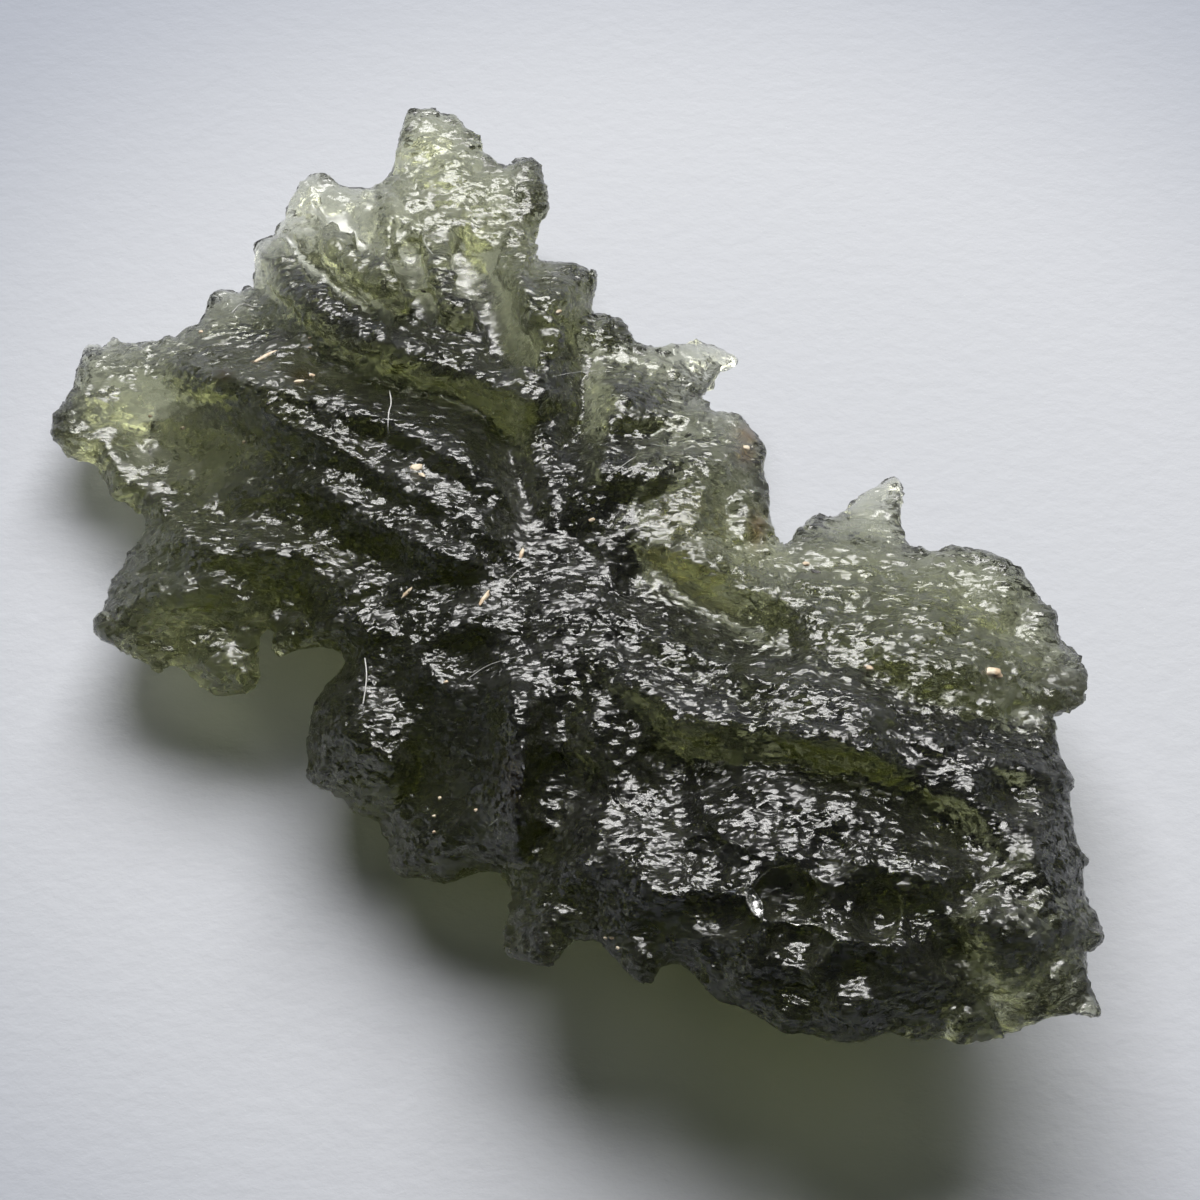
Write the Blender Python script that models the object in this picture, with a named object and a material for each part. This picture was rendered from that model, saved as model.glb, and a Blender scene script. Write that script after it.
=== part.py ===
"""A raw moldavite: one leaf-shaped splash of green natural glass with a thin jagged rim.

Ropes and grooves run out from a knot near the middle. The far and left lobes lie low
and thin; the near right end is heavy and its rim stands clear of the ground.
"""

import math

import bpy
import numpy as np
from mathutils import Vector, geometry, noise

# The plan is drawn as an eye sees it that looks down at the stone at this angle from
# this far away. A point of the surface lies on the line from the eye through its place
# in the plan, at its own height above the ground. Lengths are in millimetres up to the
# last step, which turns them into metres.
EYE_ANGLE = math.radians(60.0)
EYE_DISTANCE = 70.0
PLAN_HEIGHT = 3.0
METRES_PER_MM = 0.001

# Mesh fineness: distance between points inside the upper and under side and on the rim.
UPPER_STEP = 0.38
UNDER_STEP = 0.56
RIM_STEP = 0.44
RIM_CLEARANCE = 0.55  # share of a step that inner points keep from the rim
CREST_CLEARANCE = 0.62  # share of a step that lattice points keep from a rope's crest

# Edge of the stone.
RIM_HALF_THICKNESS = 0.32
RIM_WAVE = 1.9  # length of the rim's waves
RIM_WAVE_HEIGHT = 0.40
UPPER_SHOULDER = 2.3  # distance over which the upper side rises from the rim
UNDER_SHOULDER = 2.8
LEAST_GAIN = 0.45  # least that the glass thickens inwards, over this distance
LEAST_GAIN_WIDTH = 0.5
UPPER_DETAIL_WIDTH = 0.9  # distance from the rim over which ropes and lumps fade in
UNDER_DETAIL_WIDTH = 1.6

# Knot that the ropes run out from, the fluting round it and the soft lumps all over.
KNOT = (-1.4, 0.6)
FLUTE_RING = 7.7  # radius of the noise ring that the flutes are read from
FLUTE_LENGTH = 2.2
FLUTE_START = 2.0  # distance from the knot at which the flutes reach their full height
FLUTE_LEAST = 0.2  # share of that height at the knot itself
FLUTE_HEIGHT = 0.16
UNDER_FLUTE_HEIGHT = 0.35
LUMP_SIZE = 1.15
LUMP_HEIGHT = 0.52
LUMP_TOP = 0.04  # level of the noise above which a lump's top is flat
UNDER_LUMP_SIZE = 2.3
UNDER_LUMP_HEIGHT = 0.60
WAVE_SEED, LUMP_SEED, UNDER_SEED = 6.3, 3.7, 9.1

# Shape of a rope's and a lump's cross-section: powers of the distance from the middle.
ROPE_POWER = 2.2
LUMP_POWER = 1.7
ROPE_END_SHARE = 0.12  # share of a rope's length over which it fades to its end height
ROPE_END_HEIGHT = 0.25
SHEET_SOFTNESS = 1.4

# Rim, clockwise from the tip of the far lobe.
RIM = (
    (-4.72, 12.27), (-4.52, 12.22), (-4.22, 12.27), (-4.02, 12.12), (-3.58, 12.07),
    (-3.42, 11.81), (-2.93, 11.48), (-2.96, 11.19), (-2.72, 11.02), (-2.42, 10.79),
    (-2.14, 10.85), (-2.10, 11.01), (-1.62, 11.02), (-1.48, 10.80), (-1.44, 10.45),
    (-1.31, 10.22), (-1.38, 10.02), (-1.28, 9.75), (-1.50, 9.46), (-1.64, 8.91),
    (-1.66, 8.67), (-1.48, 8.46), (-1.18, 8.43), (-0.84, 8.49), (-0.48, 8.37),
    (-0.26, 8.18), (-0.14, 8.24), (-0.06, 8.13), (-0.10, 7.83), (-0.20, 7.51),
    (-0.24, 7.12), (0.02, 7.15), (0.28, 7.09), (0.60, 7.01), (0.72, 6.74),
    (0.80, 6.48), (1.28, 6.31), (1.60, 6.38), (2.10, 6.42), (2.40, 6.45),
    (2.70, 6.33), (3.24, 6.13), (3.41, 5.98), (3.20, 5.82), (2.94, 5.70),
    (2.80, 5.38), (2.46, 5.02), (2.68, 4.87), (2.73, 4.66), (2.96, 4.64),
    (3.24, 4.56), (3.52, 4.60), (3.64, 4.45), (3.80, 4.20), (4.02, 3.97),
    (4.19, 3.71), (4.09, 3.49), (4.09, 3.12), (4.22, 2.70), (4.24, 2.45),
    (4.19, 2.20), (4.29, 1.97), (4.36, 1.60), (4.48, 1.38), (4.64, 1.34),
    (4.80, 1.48), (4.97, 1.80), (5.08, 1.80), (5.20, 2.00), (5.46, 2.11),
    (5.60, 2.03), (5.84, 2.06), (6.24, 2.24), (6.52, 2.55), (6.84, 2.76),
    (7.10, 2.88), (7.30, 3.03), (7.42, 3.01), (7.52, 2.72), (7.55, 2.45),
    (7.50, 2.10), (7.57, 1.75), (7.58, 1.50), (7.80, 1.28), (7.98, 1.33),
    (8.24, 1.18), (8.50, 1.22), (8.72, 1.35), (9.12, 1.27), (9.30, 1.20),
    (9.74, 1.22), (9.98, 1.10), (10.24, 0.95), (10.62, 0.65), (10.75, 0.36),
    (10.94, 0.10), (11.06, -0.10), (11.43, -0.33), (11.39, -0.54), (11.48, -0.82),
    (11.54, -1.06), (11.74, -1.26), (11.93, -1.40), (12.00, -1.62), (12.14, -1.82),
    (12.14, -2.12), (12.07, -2.33), (12.12, -2.52), (12.05, -2.63), (11.70, -2.72),
    (11.28, -2.88), (11.37, -3.12), (11.36, -3.38), (11.45, -3.65), (11.46, -3.80),
    (11.63, -4.09), (11.77, -4.33), (11.86, -4.54), (11.76, -4.80), (11.75, -5.04),
    (11.82, -5.32), (11.80, -5.68), (11.88, -6.10), (12.10, -6.36), (12.23, -6.53),
    (12.06, -6.74), (12.04, -7.02), (12.12, -7.40), (12.20, -7.71), (12.40, -7.86),
    (12.52, -8.16), (12.60, -8.44), (12.51, -8.65), (12.11, -8.78), (12.16, -9.08),
    (12.14, -9.44), (12.26, -9.72), (12.36, -10.04), (12.55, -10.38), (12.25, -10.32),
    (11.90, -10.31), (11.50, -10.36), (11.10, -10.46), (10.66, -10.62), (10.34, -10.80),
    (10.10, -10.77), (9.94, -10.95), (9.42, -10.98), (8.98, -11.12), (8.66, -10.96),
    (8.10, -10.94), (7.82, -11.01), (7.60, -10.91), (7.22, -10.76), (6.92, -10.90),
    (6.60, -11.02), (6.10, -11.04), (5.70, -10.98), (5.42, -10.84), (4.82, -10.84),
    (4.38, -10.70), (4.08, -10.48), (3.62, -10.18), (3.10, -10.08), (2.72, -9.80),
    (2.42, -9.44), (2.18, -9.20), (1.94, -9.06), (1.62, -9.12), (1.36, -9.34),
    (1.08, -9.64), (0.94, -9.46), (0.66, -9.32), (0.44, -9.02), (0.18, -8.72),
    (-0.02, -8.52), (-0.40, -8.46), (-0.80, -8.50), (-0.98, -8.72), (-1.14, -9.03),
    (-1.44, -9.20), (-1.78, -9.01), (-2.20, -8.97), (-2.33, -8.78), (-2.38, -8.54),
    (-2.32, -8.26), (-2.22, -8.05), (-2.17, -7.45), (-2.24, -7.10), (-2.40, -6.90),
    (-2.60, -6.78), (-3.00, -6.77), (-3.38, -6.93), (-3.70, -7.08), (-4.20, -7.02),
    (-4.50, -6.93), (-4.98, -6.90), (-5.16, -6.74), (-5.28, -6.50), (-5.27, -6.12),
    (-5.37, -5.85), (-5.51, -5.55), (-5.82, -5.42), (-6.06, -5.35), (-6.30, -5.14),
    (-6.42, -4.94), (-6.62, -4.92), (-6.80, -4.73), (-7.02, -4.66), (-7.34, -4.45),
    (-7.27, -4.10), (-7.34, -3.76), (-7.25, -3.20), (-7.21, -2.95), (-7.12, -2.62),
    (-6.90, -2.20), (-6.66, -1.94), (-6.42, -1.75), (-6.34, -1.54), (-6.44, -1.32),
    (-6.66, -1.20), (-7.00, -1.16), (-7.42, -1.18), (-7.76, -1.31), (-8.12, -1.37),
    (-8.15, -1.12), (-8.08, -0.78), (-8.28, -0.66), (-8.50, -0.90), (-8.57, -1.36),
    (-8.47, -1.78), (-8.54, -2.04), (-8.74, -2.25), (-9.05, -2.38), (-9.52, -2.38),
    (-9.88, -2.23), (-10.12, -1.97), (-10.40, -1.72), (-10.72, -1.58), (-10.98, -1.63),
    (-11.08, -1.78), (-11.28, -1.58), (-11.56, -1.48), (-11.86, -1.30), (-12.12, -1.11),
    (-12.50, -0.99), (-12.63, -0.80), (-12.63, -0.56), (-12.43, -0.30), (-12.30, 0.00),
    (-12.27, 0.38), (-12.05, 0.62), (-11.88, 0.80), (-11.85, 1.11), (-11.58, 1.30),
    (-11.44, 1.51), (-11.37, 1.75), (-11.33, 1.99), (-11.41, 2.17), (-11.58, 2.34),
    (-11.80, 2.44), (-12.16, 2.49), (-12.34, 2.95), (-12.45, 3.24), (-12.62, 3.42),
    (-12.95, 3.54), (-13.40, 3.60), (-13.53, 3.92), (-13.70, 4.08), (-13.70, 4.46),
    (-13.56, 4.72), (-13.34, 4.96), (-13.18, 5.24), (-13.10, 5.60), (-12.98, 5.92),
    (-12.90, 6.30), (-12.68, 6.37), (-12.40, 6.28), (-12.26, 6.40), (-12.19, 6.60),
    (-12.00, 6.40), (-11.52, 6.36), (-11.06, 6.46), (-10.82, 6.64), (-10.60, 6.54),
    (-10.34, 6.82), (-9.98, 6.88), (-9.86, 7.14), (-9.82, 7.50), (-9.56, 7.77),
    (-9.28, 7.72), (-9.06, 7.61), (-8.82, 7.82), (-8.62, 7.70), (-8.62, 8.28),
    (-8.62, 8.52), (-8.57, 8.92), (-8.28, 9.04), (-8.05, 9.12), (-8.00, 9.32),
    (-7.82, 9.64), (-7.64, 10.04), (-7.48, 10.32), (-7.34, 10.56), (-7.13, 10.69),
    (-6.92, 10.62), (-6.72, 10.46), (-6.48, 10.30), (-6.16, 10.24), (-5.68, 10.26),
    (-5.40, 10.40), (-5.24, 10.64), (-5.08, 11.02), (-5.00, 11.51), (-4.87, 12.05),
)

# Heights above the ground at places in the plan: of the rim, and of the sheet between
# the two sides further in.
RIM_HEIGHTS = (
    (-4.5, 12.2, 2.8), (-1.5, 10.5, 3.0), (-7.2, 10.6, 2.4), (-1.7, 8.6, 3.0),
    (-0.1, 8.2, 3.5), (-8.6, 8.8, 2.1), (-9.8, 7.2, 2.2), (-13.6, 4.3, 1.8),
    (-12.3, 6.5, 2.0), (-11.4, 2.0, 1.6), (-12.6, -0.7, 2.2), (-9.3, -2.3, 2.2),
    (-8.1, -1.2, 3.1), (-6.4, -1.4, 3.3), (-7.3, -4.4, 2.4), (-4.3, -7.0, 1.7),
    (-2.2, -7.4, 3.1), (-2.3, -8.8, 3.6), (1.0, -9.6, 4.6), (5.5, -11.0, 4.9),
    (9.0, -11.1, 4.9), (12.5, -10.4, 5.1), (12.5, -8.4, 4.8), (11.8, -5.0, 4.8),
    (11.4, -3.0, 4.6), (12.1, -2.0, 3.9), (11.0, 0.0, 4.0), (9.5, 1.2, 4.0),
    (7.4, 2.9, 2.6), (4.6, 1.4, 3.8), (4.2, 3.7, 4.1), (2.7, 4.8, 3.5),
    (3.3, 6.0, 2.3), (0.7, 6.9, 3.5), (-1.5, 1.0, 3.0), (4.0, -4.0, 4.2),
    (-5.0, 5.0, 2.5), (8.0, -2.0, 4.2), (1.0, -5.0, 4.0),
)

# Heights of the upper side, before its ropes and grooves.
UPPER_HEIGHTS = (
    (-1.4, 0.6, 5.5), (-4.0, 3.0, 5.2), (-6.5, 4.6, 4.8), (-9.5, 5.4, 4.0),
    (-11.8, 5.4, 2.9), (-10.4, 3.9, 3.1), (-8.0, 2.8, 4.2), (-6.0, 0.5, 4.8),
    (-9.5, 1.2, 3.9), (-11.0, 0.7, 3.6), (-9.5, -1.0, 3.2), (-4.0, -1.0, 5.4),
    (-5.5, -2.5, 4.9), (-4.5, -5.0, 3.8), (-3.2, -4.0, 4.9), (-1.9, -4.0, 5.9),
    (-6.5, -3.2, 4.2), (2.5, -1.2, 5.7), (3.0, -3.0, 6.4), (6.0, -3.5, 6.8),
    (8.5, -4.0, 6.3), (5.0, -6.5, 7.0), (1.8, -5.6, 6.5), (8.0, -7.0, 6.9),
    (10.5, -4.8, 5.9), (10.8, -8.0, 6.3), (6.0, -8.6, 7.1), (2.6, -7.8, 6.9),
    (-0.5, -6.5, 5.6), (-1.2, -8.0, 4.8), (9.0, -9.3, 6.4), (11.5, -9.8, 5.6),
    (4.0, -8.8, 6.8), (0.9, -7.2, 6.2), (5.0, 0.0, 5.4), (8.0, 0.0, 5.2),
    (9.8, 0.0, 5.0), (11.0, -1.5, 4.8), (9.0, -2.2, 5.8), (6.5, 1.4, 4.3),
    (7.1, 2.2, 3.4), (1.5, 2.5, 5.4), (3.2, 3.0, 5.2), (1.5, 4.2, 5.0),
    (0.3, 5.5, 4.4), (2.3, 5.8, 3.1), (-2.5, 4.5, 4.9), (-1.6, 6.3, 4.7),
    (-1.0, 8.0, 4.6), (-3.0, 7.0, 4.2), (-3.0, 9.3, 3.7), (-4.0, 11.0, 3.4),
    (-5.0, 9.0, 3.6), (-5.5, 7.5, 4.1), (-7.4, 8.9, 3.1), (-7.8, 7.2, 3.7),
    (-4.5, 6.2, 4.5), (-8.8, 6.8, 3.2),
)

# Heights of the under side. Below zero means worn flat on the ground. A keel runs from
# the left lobe under the knot to the near end; the right flange is vaulted beneath.
UNDER_HEIGHTS = (
    (-7.0, 4.4, -0.25), (7.9, -5.7, -0.25), (2.6, -7.0, -0.25), (-3.4, -3.4, -0.25),
    (-1.2, 1.4, 0.9), (-1.0, -1.0, 1.0), (-1.0, 5.0, 1.4), (-4.0, 9.5, 1.8),
    (-11.5, 4.2, 0.8), (-9.6, 4.2, 0.9), (-10.0, 0.0, 0.9), (-6.0, 1.0, 0.9),
    (0.1, 0.4, 2.9), (1.2, 0.3, 4.3), (2.3, 0.0, 4.4), (3.2, -0.9, 4.3),
    (2.0, 1.2, 3.2), (4.6, 0.3, 2.8), (6.2, 0.4, 2.4), (8.0, 0.2, 2.2),
    (9.8, -0.3, 2.1), (7.0, -1.4, 2.9), (9.0, -1.8, 2.9), (11.2, -1.8, 2.6),
    (5.0, -1.5, 3.7), (3.0, -3.2, 2.8), (6.5, -3.0, 3.3), (9.0, -3.6, 3.6),
    (1.8, -1.4, 3.3), (4.8, -4.6, 2.4), (2.0, 3.5, 2.9), (0.6, 4.8, 2.3),
    (1.0, 2.6, 2.9), (6.6, 1.8, 2.3), (10.5, -5.0, 3.2), (10.0, -7.0, 3.3),
    (9.0, -9.3, 3.5), (11.0, -9.0, 4.1), (6.0, -9.0, 2.0), (-1.0, -7.5, 1.6),
    (-5.5, -5.0, 0.5), (-4.4, 7.4, 2.9), (-7.2, 8.0, 2.4), (-5.8, 8.7, 2.6),
    (-2.2, 7.8, 1.7), (1.5, 5.8, 2.2),
)

# Ropes and grooves of the upper side: height (a groove's is negative), half its width,
# and the places that its middle runs through.
ROPES = (
    (0.75, 0.42, ((-11.3, 5.7), (-9.5, 5.55), (-8.0, 5.3), (-6.3, 4.8), (-4.7, 4.2),
                  (-3.0, 3.2), (-1.8, 1.7))),
    (0.70, 0.42, ((-9.4, 4.9), (-7.5, 4.25), (-5.6, 3.3), (-4.0, 2.4), (-2.3, 1.2))),
    (0.65, 0.40, ((-7.7, 3.2), (-6.2, 2.4), (-4.5, 1.4), (-2.6, 0.7))),
    (-0.90, 0.50, ((-7.9, 6.6), (-7.0, 5.9), (-5.9, 5.55), (-4.6, 5.1), (-3.4, 4.9),
                   (-2.5, 4.2), (-2.05, 2.6), (-1.6, 1.1))),
    (-0.45, 0.40, ((-1.5, 4.9), (-0.9, 4.2), (-0.5, 3.5))),
    (-0.85, 0.45, ((-0.95, 6.9), (-0.5, 6.0), (-0.45, 5.2), (-0.4, 4.3), (-0.6, 3.6))),
    (-0.35, 0.80, ((-3.3, 9.1), (-3.2, 7.9), (-2.6, 7.0), (-1.7, 5.9))),
    (-0.70, 0.42, ((-4.95, 9.1), (-4.75, 8.4), (-4.65, 7.7), (-4.25, 7.0))),
    (-0.75, 0.40, ((-7.7, 9.3), (-7.2, 8.5), (-6.5, 7.9), (-5.8, 7.4), (-5.3, 7.0))),
    (-0.60, 0.38, ((-7.0, 9.9), (-6.2, 9.3), (-5.65, 8.5))),
    (0.75, 0.45, ((-8.4, 8.5), (-7.6, 7.7), (-6.6, 6.95), (-5.4, 6.4), (-4.2, 6.0),
                  (-3.0, 5.5), (-2.0, 4.7))),
    (0.85, 0.34, ((-6.9, 9.1), (-6.2, 8.4), (-5.4, 7.95), (-4.9, 7.2))),
    (0.70, 0.32, ((-5.1, 10.1), (-5.2, 9.1), (-5.0, 8.2), (-4.9, 7.6))),
    (0.80, 0.34, ((-4.3, 8.5), (-4.0, 7.6), (-3.4, 6.9))),
    (0.90, 0.60, ((-1.0, 8.3), (-1.3, 7.4), (-1.6, 6.4), (-1.7, 5.4), (-1.5, 4.4))),
    (0.40, 0.50, ((-0.2, 4.5), (1.3, 4.6), (2.9, 4.3))),
    (0.45, 0.50, ((-0.5, 3.1), (1.0, 3.3), (2.4, 3.6), (3.5, 4.1))),
    (0.40, 0.40, ((0.3, 5.0), (1.0, 5.3), (1.6, 5.5))),
    (-0.50, 0.45, ((0.2, 4.0), (1.3, 4.05), (2.2, 3.95))),
    (-0.45, 0.35, ((3.0, 2.9), (3.1, 2.2), (3.2, 1.6))),
    (0.35, 0.40, ((0.8, 1.3), (2.4, 1.0), (3.6, 0.4), (4.6, -0.2), (5.8, -0.7),
                  (7.5, -1.4), (9.2, -1.75), (10.3, -2.1))),
    (-0.70, 0.80, ((0.2, 0.9), (1.2, 0.4), (2.6, -0.3), (4.2, -0.95), (5.4, -1.5))),
    (0.50, 0.42, ((-0.9, 0.1), (0.6, -0.5), (1.8, -1.1), (3.2, -1.7), (4.8, -2.2),
                  (6.4, -2.6), (8.0, -3.3), (9.3, -4.0))),
    (-0.35, 0.45, ((4.9, -1.9), (6.6, -2.2), (8.6, -2.9), (10.2, -3.3), (11.3, -3.4))),
    (0.55, 0.45, ((-0.8, -0.9), (0.8, -2.0), (2.4, -2.9), (4.4, -3.2), (6.4, -3.7),
                  (8.2, -4.6))),
    (-0.75, 0.50, ((0.6, -3.4), (2.4, -4.1), (4.2, -4.0), (6.4, -4.5), (8.2, -5.2),
                   (9.4, -6.2), (10.2, -7.4))),
    (0.30, 0.60, ((0.4, -4.6), (1.8, -5.3), (3.4, -5.9), (5.2, -6.3), (7.4, -6.6),
                  (8.8, -7.0))),
    (-0.50, 0.45, ((7.7, -7.6), (8.2, -8.2), (8.9, -8.9), (9.5, -9.8), (10.0, -10.6))),
    (0.40, 0.40, ((10.6, -6.0), (11.2, -7.0), (11.8, -8.0), (12.3, -8.4))),
    (0.40, 0.45, ((9.2, -7.9), (10.2, -8.2), (11.2, -8.5))),
    (0.60, 0.35, ((-2.5, -1.7), (-2.15, -2.7), (-1.95, -3.8), (-1.95, -4.9),
                  (-2.15, -6.0), (-2.35, -6.6))),
    (-0.80, 0.60, ((-1.1, -2.4), (-0.9, -3.8), (-1.1, -5.2), (-1.4, -6.6))),
    (0.40, 0.35, ((-6.8, -2.2), (-6.6, -3.2), (-5.6, -3.8), (-4.9, -4.3), (-5.7, -4.8))),
    (0.55, 0.42, ((-10.9, 1.9), (-9.8, 1.3), (-8.6, 1.2), (-7.2, 1.0))),
    (-0.40, 0.40, ((-10.9, 2.4), (-9.4, 2.1), (-8.0, 2.0), (-6.9, 2.1))),
    (0.35, 0.40, ((-11.7, 0.2), (-10.4, 0.3), (-9.2, 0.1), (-8.4, -0.5))),
    (0.35, 0.28, ((-8.0, -1.1), (-7.0, -0.9), (-6.0, -0.7), (-5.0, -1.0))),
    (-0.30, 0.30, ((9.0, 0.7), (8.9, 0.0), (9.0, -0.7))),
    (-0.35, 0.30, ((10.5, 0.2), (10.5, -0.6), (10.4, -1.0))),
)

# The same on the under side, where a positive height stands out downwards.
UNDER_ROPES = (
    (0.55, 0.60, ((-11.8, 4.6), (-9.2, 4.4), (-6.4, 3.6), (-3.6, 2.2), (-1.2, 0.6))),
    (-0.60, 0.60, ((-9.6, 6.2), (-7.2, 5.6), (-4.6, 4.0), (-2.4, 2.4))),
    (0.50, 0.55, ((-6.8, 9.6), (-5.6, 7.8), (-4.2, 5.8), (-2.6, 3.6))),
    (-0.50, 0.55, ((-4.2, 10.6), (-3.6, 8.6), (-2.8, 6.4), (-1.6, 4.0))),
    (0.50, 0.55, ((-1.2, 8.0), (-1.0, 5.8), (-0.8, 3.2))),
    (-0.55, 0.60, ((3.4, 4.0), (2.0, 2.8), (0.4, 1.6))),
    (0.55, 0.60, ((9.6, 0.4), (7.0, 0.0), (4.2, 0.2), (1.4, 0.2))),
    (-0.60, 0.60, ((11.2, -2.2), (8.6, -3.4), (5.6, -2.6), (2.6, -1.2))),
    (0.55, 0.60, ((11.0, -6.0), (8.4, -5.4), (5.4, -4.4), (2.2, -2.4))),
    (-0.60, 0.65, ((11.4, -9.4), (8.6, -8.0), (6.0, -6.4), (3.2, -4.2), (0.8, -2.0))),
    (-0.60, 0.60, ((1.0, -8.6), (0.6, -6.4), (-0.2, -4.0), (-0.8, -1.6))),
    (0.45, 0.50, ((-1.6, -7.6), (-1.8, -5.6), (-1.9, -3.2))),
    (-0.55, 0.55, ((-5.4, -6.0), (-4.4, -4.0), (-3.0, -1.6))),
    (-0.50, 0.55, ((-11.4, 0.4), (-8.8, 0.8), (-5.8, 0.8), (-3.2, 0.8))),
    (-0.55, 0.35, ((-7.6, 8.9), (-6.5, 7.5), (-5.4, 6.7))),
    (-0.25, 0.50, ((-3.4, 8.8), (-3.2, 7.5), (-1.9, 5.6))),
    (-0.80, 0.45, ((2.4, -4.7), (4.4, -4.7), (6.4, -5.1), (8.4, -6.0), (9.8, -7.4))),
    (-0.70, 0.40, ((8.0, -8.2), (8.9, -9.4), (9.7, -10.4))),
)

# Round lumps (and, with a negative height, cups): height, place, half-lengths across
# and up the plan, and turn of the long axis in degrees.
LUMPS = (
    (-1.05, -10.4, 3.95, 2.1, 1.35, -8.0), (-0.55, -3.15, -1.35, 1.0, 0.5, 10.0),
    (-0.55, -5.9, 1.1, 0.9, 0.42, -10.0), (-0.45, -7.75, -0.35, 0.7, 0.5, -20.0),
    (0.55, 10.45, -4.85, 1.55, 0.95, -12.0), (-0.80, 10.5, -4.85, 0.95, 0.50, -12.0),
    (0.28, 1.0, -6.8, 0.55, 0.40, -20.0), (0.28, 1.6, -7.4, 0.55, 0.35, -10.0),
    (0.28, 4.2, -7.85, 0.60, 0.35, -20.0), (0.28, 3.6, -7.2, 0.55, 0.32, -10.0),
    (0.28, 6.1, -8.4, 0.70, 0.38, -25.0), (0.28, 7.5, -8.5, 0.50, 0.38, 0.0),
    (0.28, 8.2, -6.9, 0.75, 0.40, -5.0), (0.28, 8.5, -8.2, 0.50, 0.38, -10.0),
    (0.28, 6.4, -6.5, 0.60, 0.35, -10.0), (0.28, 5.8, -7.1, 0.50, 0.32, -15.0),
    (0.28, 3.4, -6.0, 0.60, 0.35, 0.0), (-0.35, 3.0, -7.95, 0.70, 0.50, -10.0),
    (-0.50, 4.9, -8.6, 0.55, 0.38, 0.0), (-0.50, 7.1, -7.8, 0.40, 0.35, 0.0),
    (-0.50, 9.2, -7.3, 0.50, 0.40, 20.0), (-0.40, 4.6, -7.2, 0.38, 0.25, 0.0),
    (-0.40, 6.4, -9.4, 0.70, 0.55, 0.0), (-0.40, 4.6, -9.9, 0.80, 0.60, -20.0),
    (-0.50, 1.1, -8.6, 0.70, 0.70, 0.0), (-0.35, -1.9, -8.5, 0.42, 0.42, 0.0),
    (-0.40, -0.5, -7.6, 0.70, 0.45, 0.0), (-0.35, 2.9, -9.2, 0.60, 0.40, -30.0),
    (-0.35, 8.4, -10.2, 0.60, 0.50, 0.0), (0.30, -2.2, 8.45, 0.42, 0.42, 0.0),
    (-0.35, -0.7, -9.0, 0.5, 0.4, 0.0), (-0.50, -3.9, -3.9, 1.3, 1.7, 15.0),
    (-0.35, -4.9, -2.4, 0.9, 0.6, 0.0), (-0.40, 9.4, 0.15, 0.55, 0.60, 20.0),
    (-0.35, 10.1, -0.8, 0.70, 0.45, -20.0), (-0.40, 0.6, 6.0, 0.70, 0.55, 0.0),
    (-0.35, 3.7, 3.3, 0.45, 0.50, 0.0), (0.30, -9.5, 5.45, 0.50, 0.35, 0.0),
    (0.30, -12.6, 4.9, 0.45, 0.35, 0.0), (1.50, -8.20, 8.75, 0.45, 0.50, 0.0),
    (-0.35, 5.2, 0.9, 0.70, 0.40, -10.0), (-0.35, 3.7, -2.9, 0.60, 0.35, -20.0),
)


def smooth_line(places, parts=6):
    """Catmull-Rom curve through the places, as points along it."""
    points = np.array(places)
    points = np.vstack([2 * points[0] - points[1], points, 2 * points[-1] - points[-2]])
    share = np.linspace(0, 1, parts, endpoint=False)[:, None]
    run = []
    for before, start, end, after in zip(points, points[1:], points[2:], points[3:]):
        run.append(
            0.5 * (2 * start + (end - before) * share
                   + (2 * before - 5 * start + 4 * end - after) * share**2
                   + (3 * start - before - 3 * end + after) * share**3)
        )
    return np.vstack([*run, points[-2:-1]])


def distance_along(plan, line):
    """Distance from each place to the line, and how far along the line that is (0 to 1)."""
    starts, ends = line[:-1], line[1:]
    way = ends - starts
    length = np.linalg.norm(way, axis=1)
    offset = plan[:, None, :] - starts[None]
    share = np.clip((offset * way).sum(-1) / length**2, 0, 1)
    gap = np.linalg.norm(offset - share[..., None] * way, axis=-1)
    nearest = gap.argmin(axis=1)
    rows = np.arange(len(plan))
    reached = np.concatenate([[0], np.cumsum(length)])
    along = (reached[nearest] + share[rows, nearest] * length[nearest]) / reached[-1]
    return gap[rows, nearest], along


def rim_distance(plan):
    return distance_along(plan, np.array([*RIM, RIM[0]]))[0]


def inside_rim(plan):
    """Whether each place is inside the rim, by counting the edges that a ray crosses."""
    rim = np.array(RIM)
    after = np.roll(rim, -1, axis=0)
    across, up = plan[:, 0, None], plan[:, 1, None]
    spans = (rim[:, 1] > up) != (after[:, 1] > up)
    rise = np.where(rim[:, 1] == after[:, 1], 1, after[:, 1] - rim[:, 1])
    crossing = rim[:, 0] + (up - rim[:, 1]) / rise * (after[:, 0] - rim[:, 0])
    return (spans & (across < crossing)).sum(axis=1) % 2 == 1


def sheet(spots, plan):
    """Smooth height through the spots, from one rounded cone at each of them."""
    spots = np.array(spots)

    def cones(places):
        gap = np.linalg.norm(places[:, None, :] - spots[None, :, :2], axis=-1)
        return np.sqrt(gap**2 + SHEET_SOFTNESS**2)

    level = spots[:, 2].mean()
    weights = np.linalg.solve(cones(spots[:, :2]), spots[:, 2] - level)
    return cones(plan) @ weights + level


def shoulder(distance, width):
    """A quarter round from 0 at the rim to 1 at the shoulder's width."""
    share = np.clip(distance / width, 0, 1)
    return np.sqrt(share * (2 - share))


def ropes(plan, kinds):
    height = np.zeros(len(plan))
    for rise, half_width, places in kinds:
        gap, along = distance_along(plan, smooth_line(places))
        ends = np.clip(np.minimum(along, 1 - along) / ROPE_END_SHARE, ROPE_END_HEIGHT, 1)
        height += rise * ends * np.exp(-((gap / half_width) ** ROPE_POWER))
    return height


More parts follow.
